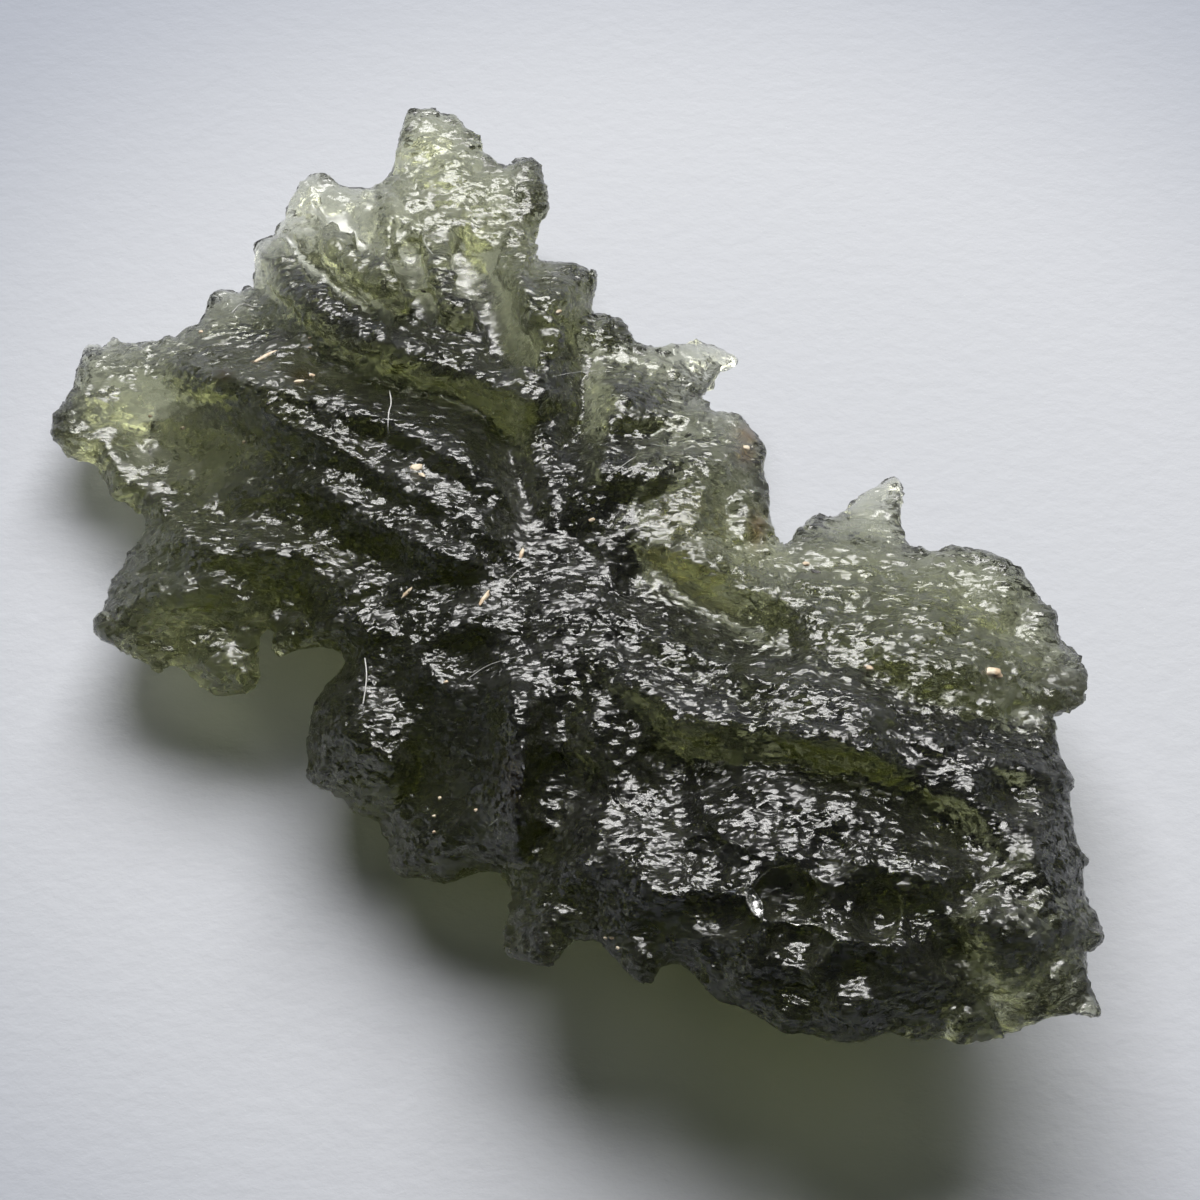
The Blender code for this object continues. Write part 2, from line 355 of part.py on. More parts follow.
def lumps(plan):
    height = np.zeros(len(plan))
    for rise, across, up, long, short, degrees in LUMPS:
        turn = math.radians(degrees)
        offset = plan - (across, up)
        one = offset[:, 0] * math.cos(turn) + offset[:, 1] * math.sin(turn)
        other = offset[:, 1] * math.cos(turn) - offset[:, 0] * math.sin(turn)
        height += rise * np.exp(-((one / long) ** 2 + (other / short) ** 2) ** LUMP_POWER)
    return height


def rough(plan, size, seed):
    """Soft noise between about -1 and 1, with features of this size."""
    return np.array(
        [noise.noise((across / size, up / size, seed)) for across, up in plan]
    )


def fluting(plan):
    """Fine ribs that run out from the knot and break up along their length."""
    offset = plan - KNOT
    away = np.linalg.norm(offset, axis=1)
    turn = np.arctan2(offset[:, 1], offset[:, 0])
    ribs = [
        noise.noise((math.cos(t) * FLUTE_RING, math.sin(t) * FLUTE_RING, r / FLUTE_LENGTH))
        for t, r in zip(turn, away)
    ]
    return np.array(ribs) * np.clip(away / FLUTE_START, FLUTE_LEAST, 1)


def surface_heights(plan):
    """Heights above the ground of the upper and the under side."""
    distance = rim_distance(plan)
    rim = sheet(RIM_HEIGHTS, plan) + RIM_WAVE_HEIGHT * rough(plan, RIM_WAVE, WAVE_SEED)
    upper_rise = shoulder(distance, UPPER_SHOULDER)
    upper = rim + (sheet(UPPER_HEIGHTS, plan) - rim) * upper_rise + RIM_HALF_THICKNESS
    detail = ropes(plan, ROPES) + lumps(plan) + FLUTE_HEIGHT * fluting(plan)
    detail += LUMP_HEIGHT * np.minimum(rough(plan, LUMP_SIZE, LUMP_SEED), LUMP_TOP)
    upper += detail * np.clip(distance / UPPER_DETAIL_WIDTH, 0, 1)
    under_rise = shoulder(distance, UNDER_SHOULDER)
    under = rim + (sheet(UNDER_HEIGHTS, plan) - rim) * under_rise - RIM_HALF_THICKNESS
    relief = ropes(plan, UNDER_ROPES) + UNDER_FLUTE_HEIGHT * fluting(plan)
    relief += UNDER_LUMP_HEIGHT * rough(plan, UNDER_LUMP_SIZE, UNDER_SEED)
    under -= relief * np.clip(distance / UNDER_DETAIL_WIDTH, 0, 1)
    under = np.maximum(under, 0.0)
    gain = LEAST_GAIN * np.clip(distance / LEAST_GAIN_WIDTH, 0, 1)
    return np.maximum(upper, under + 2 * RIM_HALF_THICKNESS + gain), under


def stand(plan, height):
    """Points in space for places in the plan at these heights."""
    lift = height - PLAN_HEIGHT
    sine, cosine = math.sin(EYE_ANGLE), math.cos(EYE_ANGLE)
    shrink = 1 - lift / (EYE_DISTANCE * sine)
    shrink /= 1 - plan[:, 1] * cosine / sine / EYE_DISTANCE
    away = (plan[:, 1] * shrink - lift * cosine) / sine
    return np.column_stack([plan[:, 0] * shrink, away, height])


def rim_points():
    """The rim's places, with more set in wherever two are far apart."""
    rim = np.array(RIM)
    points = []
    for start, end in zip(rim, np.roll(rim, -1, axis=0)):
        parts = max(1, round(float(np.linalg.norm(end - start)) / RIM_STEP))
        points.extend(start + (end - start) * k / parts for k in range(parts))
    return np.array(points)


def crest_points(kinds, step):
    """Places along the middles of the ropes and grooves, none nearer another than a step."""
    kept = []
    for _, _, places in kinds:
        for place in smooth_line(places, 12):
            if all(math.dist(place, other) >= step for other in kept):
                kept.append(tuple(place))
    return np.array(kept)


def triangulated(rim, kinds, step):
    """Places and triangles that fill the rim: crests, with a triangular lattice between."""
    low, high = rim.min(axis=0), rim.max(axis=0)
    rows = np.arange(low[1], high[1], step * math.sqrt(3) / 2)
    columns = np.arange(low[0], high[0], step)
    lattice = np.array(
        [(across + (index % 2) * step / 2, up)
         for index, up in enumerate(rows) for across in columns]
    )
    crests = crest_points(kinds, step)
    gap = np.linalg.norm(lattice[:, None, :] - crests[None], axis=-1).min(axis=1)
    inner = np.vstack([crests, lattice[gap > CREST_CLEARANCE * step]])
    inner = inner[inside_rim(inner)]
    inner = inner[rim_distance(inner) > RIM_CLEARANCE * step]
    places = np.vstack([rim, inner])
    edges = [(k, (k + 1) % len(rim)) for k in range(len(rim))]
    made = geometry.delaunay_2d_cdt(
        [Vector(place) for place in places], edges, [list(range(len(rim)))], 1, 1e-6
    )
    return np.array([tuple(place) for place in made[0]]), np.array(made[2])


def skin():
    """Points and faces of the whole closed skin: both sides, and a band along the rim."""
    rim = rim_points()
    upper_plan, upper_faces = triangulated(rim, ROPES, UPPER_STEP)
    under_plan, under_faces = triangulated(rim, UNDER_ROPES, UNDER_STEP)
    upper = stand(upper_plan, surface_heights(upper_plan)[0])
    under = stand(under_plan, surface_heights(under_plan)[1])
    count, after = len(rim), len(upper)
    faces = [tuple(face) for face in upper_faces]
    faces += [tuple(reversed([after + k for k in face])) for face in under_faces]
    for k in range(count):
        following = (k + 1) % count
        faces.append((k, following, after + following, after + k))
    return np.vstack([upper, under]), faces


def centred(points):
    """The points moved so that their box stands on the ground, round the middle."""
    middle = (points[:, :2].min(axis=0) + points[:, :2].max(axis=0)) / 2
    return points - (*middle, points[:, 2].min())


def glass():
    material = bpy.data.materials.new("moldavite_glass")
    material.use_nodes = True
    shader = material.node_tree.nodes["Principled BSDF"]
    shader.inputs["Base Color"].default_value = (0.10, 0.13, 0.04, 1.0)
    shader.inputs["Roughness"].default_value = 0.12
    shader.inputs["Metallic"].default_value = 0.0
    return material


def stone():
    points, faces = skin()
    mesh = bpy.data.meshes.new("moldavite")
    mesh.from_pydata((centred(points) * METRES_PER_MM).tolist(), [], faces)
    mesh.validate()
    mesh.materials.append(glass())
    piece = bpy.data.objects.new("moldavite", mesh)
    collection = bpy.data.collections.new("Moldavite")
    bpy.context.scene.collection.children.link(collection)
    collection.objects.link(piece)
    bpy.context.view_layer.objects.active = piece
    piece.select_set(True)
    bpy.ops.object.mode_set(mode="EDIT")
    bpy.ops.mesh.select_all(action="SELECT")
    bpy.ops.mesh.normals_make_consistent(inside=False)
    bpy.ops.mesh.quads_convert_to_tris()
    bpy.ops.object.mode_set(mode="OBJECT")


for old in list(bpy.data.objects):
    bpy.data.objects.remove(old)
stone()
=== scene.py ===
"""A raw moldavite on pale paper: the stone's etched glass, the sand and lint it carries,
and the stage round it.

The file is laid out as an add-on. Each operator makes one piece, the panel lists them,
and main() calls them in order. Names that end in _mm are in millimetres, the rest of the
lengths are in metres.
"""

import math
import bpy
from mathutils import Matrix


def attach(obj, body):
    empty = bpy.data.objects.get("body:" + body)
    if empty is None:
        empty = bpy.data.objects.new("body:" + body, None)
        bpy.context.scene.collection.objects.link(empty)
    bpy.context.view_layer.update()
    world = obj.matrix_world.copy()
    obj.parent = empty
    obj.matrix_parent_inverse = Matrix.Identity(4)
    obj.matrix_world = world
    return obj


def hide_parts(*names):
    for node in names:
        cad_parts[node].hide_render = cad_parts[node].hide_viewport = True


bl_info = {
    "name": "Moldavite",
    "version": (1, 0, 0),
    "blender": (4, 5, 0),
    "location": "3D View > Sidebar > Moldavite",
    "description": "Builds a raw moldavite with its etched skin, trapped sand and lint",
    "category": "Object",
}

import bpy
import numpy as np
from mathutils import Matrix, Vector, noise
from mathutils.bvhtree import BVHTree

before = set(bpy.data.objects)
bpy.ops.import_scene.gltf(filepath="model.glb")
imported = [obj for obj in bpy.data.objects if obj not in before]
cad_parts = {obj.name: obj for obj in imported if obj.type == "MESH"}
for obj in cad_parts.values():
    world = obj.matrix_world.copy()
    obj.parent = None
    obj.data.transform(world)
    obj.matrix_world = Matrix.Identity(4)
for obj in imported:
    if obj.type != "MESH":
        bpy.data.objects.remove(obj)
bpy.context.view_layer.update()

STONE_NODE = "moldavite"
METRES_PER_MM = 0.001

# The stone's plan is drawn as the camera's eye sees it: across and up in millimetres on a
# sheet that faces the eye and passes through the plan's origin.
EYE_ANGLE = math.radians(60.0)
EYE_DISTANCE_MM = 70.0
PLAN_HEIGHT_MM = 3.0
PLAN_ORIGIN_MM = np.array([1.3759, -1.8459, 0.0])  # in the object's own frame
FRAME_WIDTH_MM = 30.0  # width of the plan that the camera frames

HALF = Vector((0.5, 0.5, 0.5))
KNOT = (-1.4, 0.6)  # place in the plan that the ropes run out from

# Smooth hollows and faces with few wrinkles: middle, half-lengths, turn in degrees.
SMOOTH_PLACES = (
    (-10.4, 3.95, 1.9, 1.2, -8.0), (-6.0, 5.5, 1.5, 0.30, -22.0),
    (-3.2, 4.6, 1.2, 0.30, -40.0), (-2.0, 2.6, 0.30, 1.4, 10.0),
    (-3.2, 8.0, 0.5, 1.2, 10.0), (-6.5, 8.0, 1.7, 0.30, -42.0),
    (-3.4, -4.2, 1.2, 2.2, 15.0), (6.1, 1.8, 1.2, 0.9, 20.0),
    (-4.65, 8.2, 0.30, 1.1, 15.0), (2.2, 0.1, 1.9, 0.35, -28.0),
    (0.5, -4.9, 1.1, 0.8, -20.0), (3.0, -7.95, 0.7, 0.5, 0.0), (6.4, -9.4, 0.8, 0.6, 0.0),
)

# Clear bands of the far lobe, and the ridges between them, whose depth is negative:
# half-width, depth, and the places they run through.
BANDS = (
    (0.36, 0.30, ((-7.75, 9.0), (-7.1, 8.3), (-6.3, 7.75), (-5.2, 6.95))),
    (0.26, 0.25, ((-7.0, 9.9), (-6.4, 9.3), (-5.6, 8.4))),
    (0.34, 0.30, ((-5.05, 9.4), (-4.75, 8.3), (-4.2, 6.9))),
    (0.60, 0.25, ((-3.5, 9.1), (-3.1, 8.0), (-2.5, 7.0), (-1.55, 5.85))),
    (0.30, -0.30, ((-8.3, 8.5), (-7.4, 7.5), (-6.4, 6.8), (-5.2, 6.3))),
    (0.26, -0.32, ((-6.9, 9.2), (-6.2, 8.45), (-5.4, 7.9), (-4.8, 7.1))),
    (0.24, -0.32, ((-4.35, 9.0), (-4.0, 7.9), (-3.3, 6.8))),
    (0.30, -0.32, ((-2.3, 9.0), (-2.1, 8.0), (-1.75, 7.2), (-1.2, 6.2))),
)
BAND_FALL = 0.30  # fall of a band's floor for each millimetre across it
BAND_EDGE = 0.12  # width of the step at its edge
BAND_TAPER = 0.5  # length over which a band narrows at its ends
BAND_TIP = 0.3  # share of the half-width that is left at the very end
COMB_DEPTH = 0.7  # share of the half-width by which the edge wavers
COMB_ALONG, COMB_ACROSS, COMB_SEED = 3.1, 1.5, 9  # how quickly it wavers

# Broad shallow hollows: half-width, depth, and the places they run through.
HOLLOWS = (
    (1.5, 0.30, ((1.0, -5.6), (3.5, -6.2), (5.5, -6.5), (7.6, -6.9))),
    (0.85, 0.55, ((-0.9, -4.7), (0.5, -4.7), (1.9, -4.9))),
    (0.60, 0.40, ((2.0, -6.3), (2.5, -6.1))),
    (0.75, 0.50, ((2.7, -7.9), (3.4, -7.7))),
    (0.50, 0.32, ((4.5, -7.3), (4.9, -7.3))),
    (0.60, 0.36, ((5.0, -8.3), (5.7, -8.5))),
    (0.45, 0.28, ((6.9, -7.6), (7.1, -8.2))),
)

# Rust stains: middle, half-lengths.
STAINS = (
    (3.7, 4.1, 0.35, 0.25), (3.6, 3.6, 0.30, 0.30), (3.9, 1.8, 0.22, 0.45),
    (-2.2, -4.5, 0.28, 0.70), (-7.45, 5.55, 0.30, 0.18), (-9.4, 5.6, 0.20, 0.12),
)

# Grains caught in the pits: place in the plan, length, width and turn in degrees.
CREAM_GRAINS = (
    (9.85, -1.83, 0.45, 0.24, -8.0), (6.72, -1.70, 0.26, 0.14, -10.0),
    (-4.60, 3.30, 0.34, 0.20, 25.0), (-4.45, 3.12, 0.18, 0.12, -30.0),
    (-7.55, 5.45, 0.30, 0.12, 20.0), (-7.20, 5.62, 0.16, 0.10, 0.0),
    (3.65, 3.80, 0.22, 0.15, 0.0), (-1.05, 7.20, 0.20, 0.13, 30.0),
    (5.15, 0.90, 0.18, 0.12, 0.0), (-11.25, 4.60, 0.10, 0.08, 0.0),
    (-10.43, 4.30, 0.12, 0.09, 20.0), (-8.90, 3.95, 0.11, 0.08, 0.0),
    (-9.98, 6.70, 0.14, 0.10, -20.0), (-7.25, 6.55, 0.12, 0.08, 0.0),
    (-7.25, 6.30, 0.10, 0.08, 0.0), (0.15, -8.45, 0.12, 0.09, 0.0),
    (0.30, -8.45, 0.10, 0.08, 0.0), (0.45, -8.70, 0.12, 0.08, 0.0),
    (-3.85, -2.05, 0.12, 0.09, 0.0), (-4.00, -4.95, 0.10, 0.08, 0.0),
    (-3.10, -5.25, 0.12, 0.08, 30.0), (-4.15, -5.40, 0.10, 0.07, 0.0),
    (-4.15, -5.80, 0.10, 0.08, 0.0), (-0.20, 2.00, 0.16, 0.10, 10.0),
)
DARK_GRAINS = (
    (5.40, 0.70, 0.24, 0.12, -25.0), (-4.40, 7.72, 0.18, 0.08, -10.0),
    (2.30, 5.10, 0.14, 0.09, 0.0), (-8.30, 4.90, 0.12, 0.08, 20.0),
)
# Thin flakes: ends in the plan, and width.
FLAKES = (
    ((-8.75, 5.80), (-8.10, 6.30), 0.13), ((-2.02, 0.95), (-1.92, 1.30), 0.10),
    ((-3.00, -0.15), (-2.78, 0.25), 0.12), ((-4.95, 0.05), (-4.70, 0.30), 0.10),
)
# Lint: thickness, then places in the plan with the height that the fibre stands off.
FIBRES = (
    (0.030, ((-5.85, -1.50, 0.10), (-5.80, -1.95, 0.16), (-5.86, -2.35, 0.12),
             (-5.92, -2.62, 0.04))),
    (0.030, ((-5.26, 5.20, 0.04), (-5.22, 4.80, 0.14), (-5.26, 4.40, 0.14),
             (-5.28, 4.00, 0.04))),
    (0.016, ((-3.30, -2.00, 0.05), (-2.80, -1.72, 0.12), (-2.10, -1.45, 0.04))),
    (0.016, ((-2.75, -5.65, 0.03), (-2.55, -5.50, 0.05))),
    (0.022, ((-9.20, 7.15, 0.06), (-8.95, 7.30, 0.14), (-8.65, 7.24, 0.14),
             (-8.40, 7.30, 0.05))),
    (0.018, ((-4.20, 9.10, 0.05), (-4.36, 8.95, 0.14), (-4.30, 8.72, 0.18),
             (-4.17, 8.60, 0.06))),
    (0.014, ((-0.10, 5.70, 0.05), (-0.60, 5.60, 0.16), (-1.20, 5.55, 0.05))),
    (0.014, ((-11.90, 6.10, 0.05), (-11.60, 6.15, 0.30), (-11.30, 6.10, 0.20),
             (-11.15, 6.05, 0.05))),
    (0.014, ((8.25, 0.90, 0.05), (8.45, 0.95, 0.30), (8.80, 0.90, 0.25),
             (8.95, 0.80, 0.04))),
    (0.014, ((0.90, 3.55, 0.05), (0.60, 3.30, 0.16), (0.20, 3.05, 0.05))),
    (0.014, ((-2.40, 0.35, 0.05), (-2.10, 0.62, 0.15), (-1.75, 0.85, 0.04))),
)

# Relief of the etched skin. The seeds pick the pattern.
SUBDIVISIONS = 2
MERGE_DISTANCE = 1e-6
STRETCH = (0.62, 1.0, 1.0)  # draws the flakes and wrinkles out along x
RIB_SEED, FLAKE_SEED, WRINKLE_SEED, RIM_SEED = 4.1, 2.7, 6.4, 5.5
RIBS_ROUND_KNOT, RIBS_PER_MM_OUT = 11.0, 0.35
RIB_LENGTH_MM, RIB_RISE_MM = 1.3, 1.6  # before a rib breaks up, outwards and upwards
RIBS_START_MM, RIBS_GROW_MM = 0.8, 2.5  # distances from the knot
CREASE_SLOPE, FLAKE_TOP, FLAKE_TOP_SLOPE, FLAKE_MIDDLE = 3.2, 0.75, 0.4, 0.5
FLAKE_SIZE_MM, FLAKE_LEAN, FLAKE_STEP, FLAKE_KEY = 0.26, 2, 0.25, 5.0
WRINKLE_SIZE_MM = 1.1
RIM_FACING = 0.18  # cosine of the skin's turn to the eye, under which it counts as rim
RIM_GRAIN_MM, RIM_HEIGHT_MM = 0.30, 0.05
THIN_MM, THIN_FALL_MM = 3.4, 2.0  # thin glass starts here, and is wholly thin this much below
CALM_IN_SMOOTH, CALM_ON_FLOORS = 0.55, 0.6  # shares of the relief that are lost there
FLAKES_ON_THIN, BUMP_LOST_ON_THIN = 0.3, 0.5
DEEPEST, HIGHEST = 0.25, 0.5  # shares of the glass's thickness
FEET_MM = 0.01  # the feet's height above the paper
RAY_START_MM, RAY_REACH, DEFAULT_THICKNESS = 0.01, 0.02, 0.002

# Glass. Scales are features to the millimetre.
GLASS_PER_METRE = (520.0, 1000.0, 1000.0)  # turns metres into millimetres, drawn out along x
FINEST_SCALE, FINEST_DETAIL, FINEST_ROUGHNESS, FINEST_SHARE = 6.2, 1.0, 0.45, 0.6
CELLS_SCALE = 7.5
GLASS_BUMP, LEAST_BUMP = 0.00011, 0.12
PATCH_SCALE, PATCH_DETAIL, PATCH_ROUGHNESS = 1.1, 3.0, 0.6
PATCH_LOW, PATCH_HIGH = 0.35, 0.65  # noise that counts as least and most rough
LEAST_ROUGH, MOST_ROUGH = 0.6, 1.8  # times the roughness that is set
TINT_DARK, TINT_LIGHT = (0.94, 0.95, 0.90, 1.0), (0.99, 0.99, 0.97, 1.0)
RUST = (0.62, 0.30, 0.13, 1.0)
CLEARNESS = 0.996  # share of the skin that lets light through; the rest is dull

# Sand and lint: two tones, and their patches to the millimetre.
CREAM_SAND = ((0.39, 0.345, 0.26), (0.28, 0.205, 0.13), 5.0)
DARK_SAND = ((0.05, 0.045, 0.04), (0.012, 0.011, 0.010), 8.0)
COTTON = ((0.34, 0.34, 0.33), (0.25, 0.25, 0.24), 6.0)
MINERAL_PER_METRE = (1000.0, 1000.0, 1000.0)
SPECKLE_DETAIL, SPECKLE_ROUGHNESS = 2.0, 0.6
TONE_LOW, TONE_HIGH = 0.38, 0.62
MINERAL_BUMP, MINERAL_ROUGHNESS = 0.00002, 0.6
BULGE, BULGE_SCALE, CUT, CUT_SCALE = 0.35, 2.6, 0.06, 3.1
GRAIN_HEIGHT = 0.8  # of the shorter of its length and width
FLAKE_SEEDS_FROM, DARK_SEEDS_FROM = 40, 60
UPRIGHT = Vector((0, 0, 2))  # added to a normal, so that what lies on the skin lies flatter
SMOOTH_ANGLE = math.radians(40.0)

# Stage.
PAPER_SIZE = 0.6
PAPER_PER_METRE = (1000.0, 1400.0, 1000.0)
TOOTH_SCALE, TOOTH_DETAIL, TOOTH_ROUGHNESS = 1.6, 4.0, 0.6
PAPER_BUMP, PAPER_BUMP_STRENGTH, PAPER_ROUGHNESS = 0.00006, 0.5, 0.9
# Painted shade: between these distances from a middle point near the stone, the paper's colour
# turns darker and bluer in place of light that falls off towards the edges.
SHADE_MIDDLE_MM, SHADE_FROM_MM, SHADE_TO_MM = 3.0, 14.0, 30.0
WINDOW_AZIMUTH, WINDOW_ELEVATION = math.radians(3.0), math.radians(53.0)
WINDOW_DISTANCE = 0.32
WINDOW_WIDE, WINDOW_HIGH = math.radians(54.0), math.radians(36.0)
WINDOW_COLOUR = (1.0, 0.99, 0.97)
ROOM_COLOUR = (0.86, 0.92, 1.0, 1.0)
CLIP_START, CLIP_END = 0.001, 10.0
# The window is two lamps in one place: share of its light, and whether glass lets it through.
WINDOWS = (("window", 0.40, True), ("window_sheen", 0.45, False))
# Cards of light under the thin lobes: place in the plan, half-lengths, radiance.
CARDS = (
    (-4.3, 7.9, 3.2, 1.9, 0.17), (2.0, 0.1, 1.9, 0.9, 0.45), (-9.4, 3.6, 3.0, 2.0, 0.10),
)
CARD_HEIGHT_MM = 0.1


class StoneSettings(bpy.types.PropertyGroup):
    """Colours and relief of the glass."""

    body_colour: bpy.props.FloatVectorProperty(
        name="Body colour", description="Colour that thick glass keeps of white light",
        subtype="COLOR", size=3, min=0.0, max=1.0, default=(0.545, 0.562, 0.355))
    depth_per_metre: bpy.props.FloatProperty(
        name="Depth of colour", description="Absorption density of the glass, per metre",
        default=700.0, min=0.0)
    refraction: bpy.props.FloatProperty(
        name="Refraction", description="Refractive index of the glass", default=1.50, min=1.0)
    roughness: bpy.props.FloatProperty(
        name="Roughness", description="Roughness of the etched skin",
        default=0.19, min=0.0, max=1.0, subtype="FACTOR")
    rib_height: bpy.props.FloatProperty(
        name="Rib height", description="Height of the fine ribs along the flow",
        default=0.000045, unit="LENGTH")
    flake_height: bpy.props.FloatProperty(
        name="Flake height", description="Height of the flat flakes of the etched skin",
        default=0.000074, unit="LENGTH")
    wrinkle_height: bpy.props.FloatProperty(
        name="Wrinkle height", description="Height of the broad wrinkles of the thin lobes",
        default=0.00015, unit="LENGTH")


class StageSettings(bpy.types.PropertyGroup):
    """Floor and light."""

    paper_colour: bpy.props.FloatVectorProperty(
        name="Paper", description="Colour of the floor", subtype="COLOR", size=3,
        min=0.0, max=1.0, default=(0.260, 0.268, 0.288))
    # Painted shade: the floor's colour away from the stone, darker and bluer, standing in for
    # light that falls off there.
    painted_edge_shade_colour: bpy.props.FloatVectorProperty(
        name="Far paper", description="Colour of the floor away from the stone",
        subtype="COLOR", size=3, min=0.0, max=1.0, default=(0.159, 0.171, 0.201))
    window_radiance: bpy.props.FloatProperty(
        name="Window", description="Brightness of the window's sky", default=21.0, min=0.0)
    room_light: bpy.props.FloatProperty(
        name="Room", description="Brightness of the room all round", default=0.07, min=0.0)


def mm(value):
    """Millimetres as metres."""
    return value * METRES_PER_MM


def alone(piece):
    """Selects and activates one object."""
    bpy.ops.object.select_all(action="DESELECT")
    bpy.context.view_layer.objects.active = piece
    piece.select_set(True)


def coordinates(mesh):
    """The vertices' places, one row each."""
    values = np.empty(len(mesh.vertices) * 3, np.float32)
    mesh.vertices.foreach_get("co", values)
    return values.reshape(-1, 3).astype(float)


def vertex_normals(mesh):
    """The vertices' normals, one row each."""
    values = np.empty(len(mesh.vertices) * 3, np.float32)
    mesh.vertices.foreach_get("normal", values)
    return values.reshape(-1, 3).astype(float)


def eye_point():
    """The camera's place, in metres."""
    back = EYE_DISTANCE_MM * math.cos(EYE_ANGLE)
    up = EYE_DISTANCE_MM * math.sin(EYE_ANGLE)
    return (PLAN_ORIGIN_MM + (0.0, -back, PLAN_HEIGHT_MM + up)) * METRES_PER_MM


def line_of_sight(across, up):
    """The eye's place, and the way from it to a place in the plan."""
    eye = Vector(eye_point())
    sheet = np.array([across, up * math.sin(EYE_ANGLE),
                      PLAN_HEIGHT_MM + up * math.cos(EYE_ANGLE)])
    return eye, Vector((PLAN_ORIGIN_MM + sheet) * METRES_PER_MM) - eye


def plan_of(points):
    """Places in the plan, in millimetres, of points in the object's frame."""
    across, away, height = (points / METRES_PER_MM - PLAN_ORIGIN_MM).T
    lift = height - PLAN_HEIGHT_MM
    sine, cosine = math.sin(EYE_ANGLE), math.cos(EYE_ANGLE)
    nearness = 1 - (lift * sine - away * cosine) / EYE_DISTANCE_MM
    return np.column_stack([across, away * sine + lift * cosine]) / nearness[:, None]


def smoothness(plan):
    """1 in the smooth hollows, 0 on the wrinkled skin."""
    smooth = np.zeros(len(plan))
    for across, up, long, short, degrees in SMOOTH_PLACES:
        turn = math.radians(degrees)
        offset = plan - (across, up)
        one = offset[:, 0] * math.cos(turn) + offset[:, 1] * math.sin(turn)
        other = offset[:, 1] * math.cos(turn) - offset[:, 0] * math.sin(turn)
        smooth = np.maximum(smooth, np.exp(-((one / long) ** 2 + (other / short) ** 2) ** 2))
    return smooth


def grain(points, size_mm, seed):
    """Soft noise between about -1 and 1, with features of this size."""
    scaled = points / mm(size_mm)
    return np.array([noise.noise((x, y, z + seed)) for x, y, z in scaled])


def flow_ribs(plan, height_mm, seed):
    """Fine ribs that run out from the knot and break up along their length."""
    offset = plan - KNOT
    away = np.linalg.norm(offset, axis=1)
    turn = np.arctan2(offset[:, 1], offset[:, 0])
    ring = RIBS_ROUND_KNOT + RIBS_PER_MM_OUT * away
    return np.array([
        noise.noise((math.cos(t) * k, math.sin(t) * k,
                     r / RIB_LENGTH_MM + h / RIB_RISE_MM + seed))
        for t, k, r, h in zip(turn, ring, away, height_mm)
    ]) * np.clip((away - RIBS_START_MM) / RIBS_GROW_MM, 0, 1)


def creased(values):
    """Turns soft noise into flat-topped flakes with sharp creases between."""
    size = np.abs(values)
    return np.minimum(size * CREASE_SLOPE, FLAKE_TOP + size * FLAKE_TOP_SLOPE) - FLAKE_MIDDLE


def facets(points, size_mm, seed):
    """Height of flat flakes that lean this way and that and meet in creases."""
    heights = []
    for place in points / mm(size_mm) + (0, 0, seed):
        planes = []
        for middle in noise.voronoi(place)[1]:
            lean = noise.cell_vector(middle * FLAKE_KEY) - HALF
            planes.append((Vector(place) - middle).dot(lean) * FLAKE_LEAN + FLAKE_STEP * lean.x)
        heights.append(max(planes))
    return np.array(heights)


def beside(plan, places):
    """Distance from a broken line, distance to its left, and way along it and left to go."""
    starts, ways = np.array(places[:-1]), np.diff(places, axis=0)
    lengths = np.linalg.norm(ways, axis=1)
    ways = ways / lengths[:, None]
    offset = plan[:, None] - starts
    share = np.clip((offset * ways).sum(-1), 0, lengths)
    gap = np.linalg.norm(offset - share[..., None] * ways, axis=-1)
    left = offset[..., 1] * ways[:, 0] - offset[..., 0] * ways[:, 1]
    rows, nearest = np.arange(len(plan)), gap.argmin(axis=1)
    reached = np.cumsum(lengths) - lengths
    run = reached[nearest] + share[rows, nearest]
    return gap[rows, nearest], left[rows, nearest], run, lengths.sum() - run


def bands(plan):
    """Depth in millimetres of the clear bands, and 1 on their floors."""
    depth, floor = np.zeros(len(plan)), np.zeros(len(plan))
    for half_width, deep, places in BANDS:
        gap, left, run, rest = beside(plan, places)
        comb = np.array([
            noise.noise((r * COMB_ALONG, side * COMB_ACROSS, half_width * COMB_SEED))
            for r, side in zip(run, left)
        ])
        ends = np.clip(np.minimum(run, rest) / BAND_TAPER, BAND_TIP, 1)
        edge = half_width * ends * (1 + COMB_DEPTH * comb)
        inside = np.clip((edge - gap) / BAND_EDGE + 0.5, 0, 1)
        depth += inside * (deep - BAND_FALL * left)
        floor = np.maximum(floor, inside * (deep > 0))
    return depth, floor


def refined_copy(node, name):
    """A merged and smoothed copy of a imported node, 24 triangles for each of its own."""
    piece = bpy.data.objects.new(name, node.data.copy())
    bpy.context.scene.collection.objects.link(piece)
    alone(piece)
    bpy.ops.object.mode_set(mode="EDIT")
    bpy.ops.mesh.select_all(action="SELECT")
    bpy.ops.mesh.remove_doubles(threshold=MERGE_DISTANCE)
    bpy.ops.object.mode_set(mode="OBJECT")
    modifier = piece.modifiers.new("refine", "SUBSURF")
    modifier.levels = modifier.render_levels = SUBDIVISIONS
    bpy.ops.object.modifier_apply(modifier=modifier.name)
    return piece


def glass_thickness(mesh, points, normals):
    """Way in metres through the glass, straight in from each vertex."""
    tree = BVHTree.FromPolygons(
        [tuple(p) for p in points], [tuple(f.vertices) for f in mesh.polygons])
    start = mm(RAY_START_MM)
    depths = []
    for point, normal in zip(points, normals):
        inward = -Vector(normal)
        hit = tree.ray_cast(Vector(point) + inward * start, inward, RAY_REACH)
        depths.append(hit[3] + start if hit[0] else DEFAULT_THICKNESS)
    return np.array(depths)


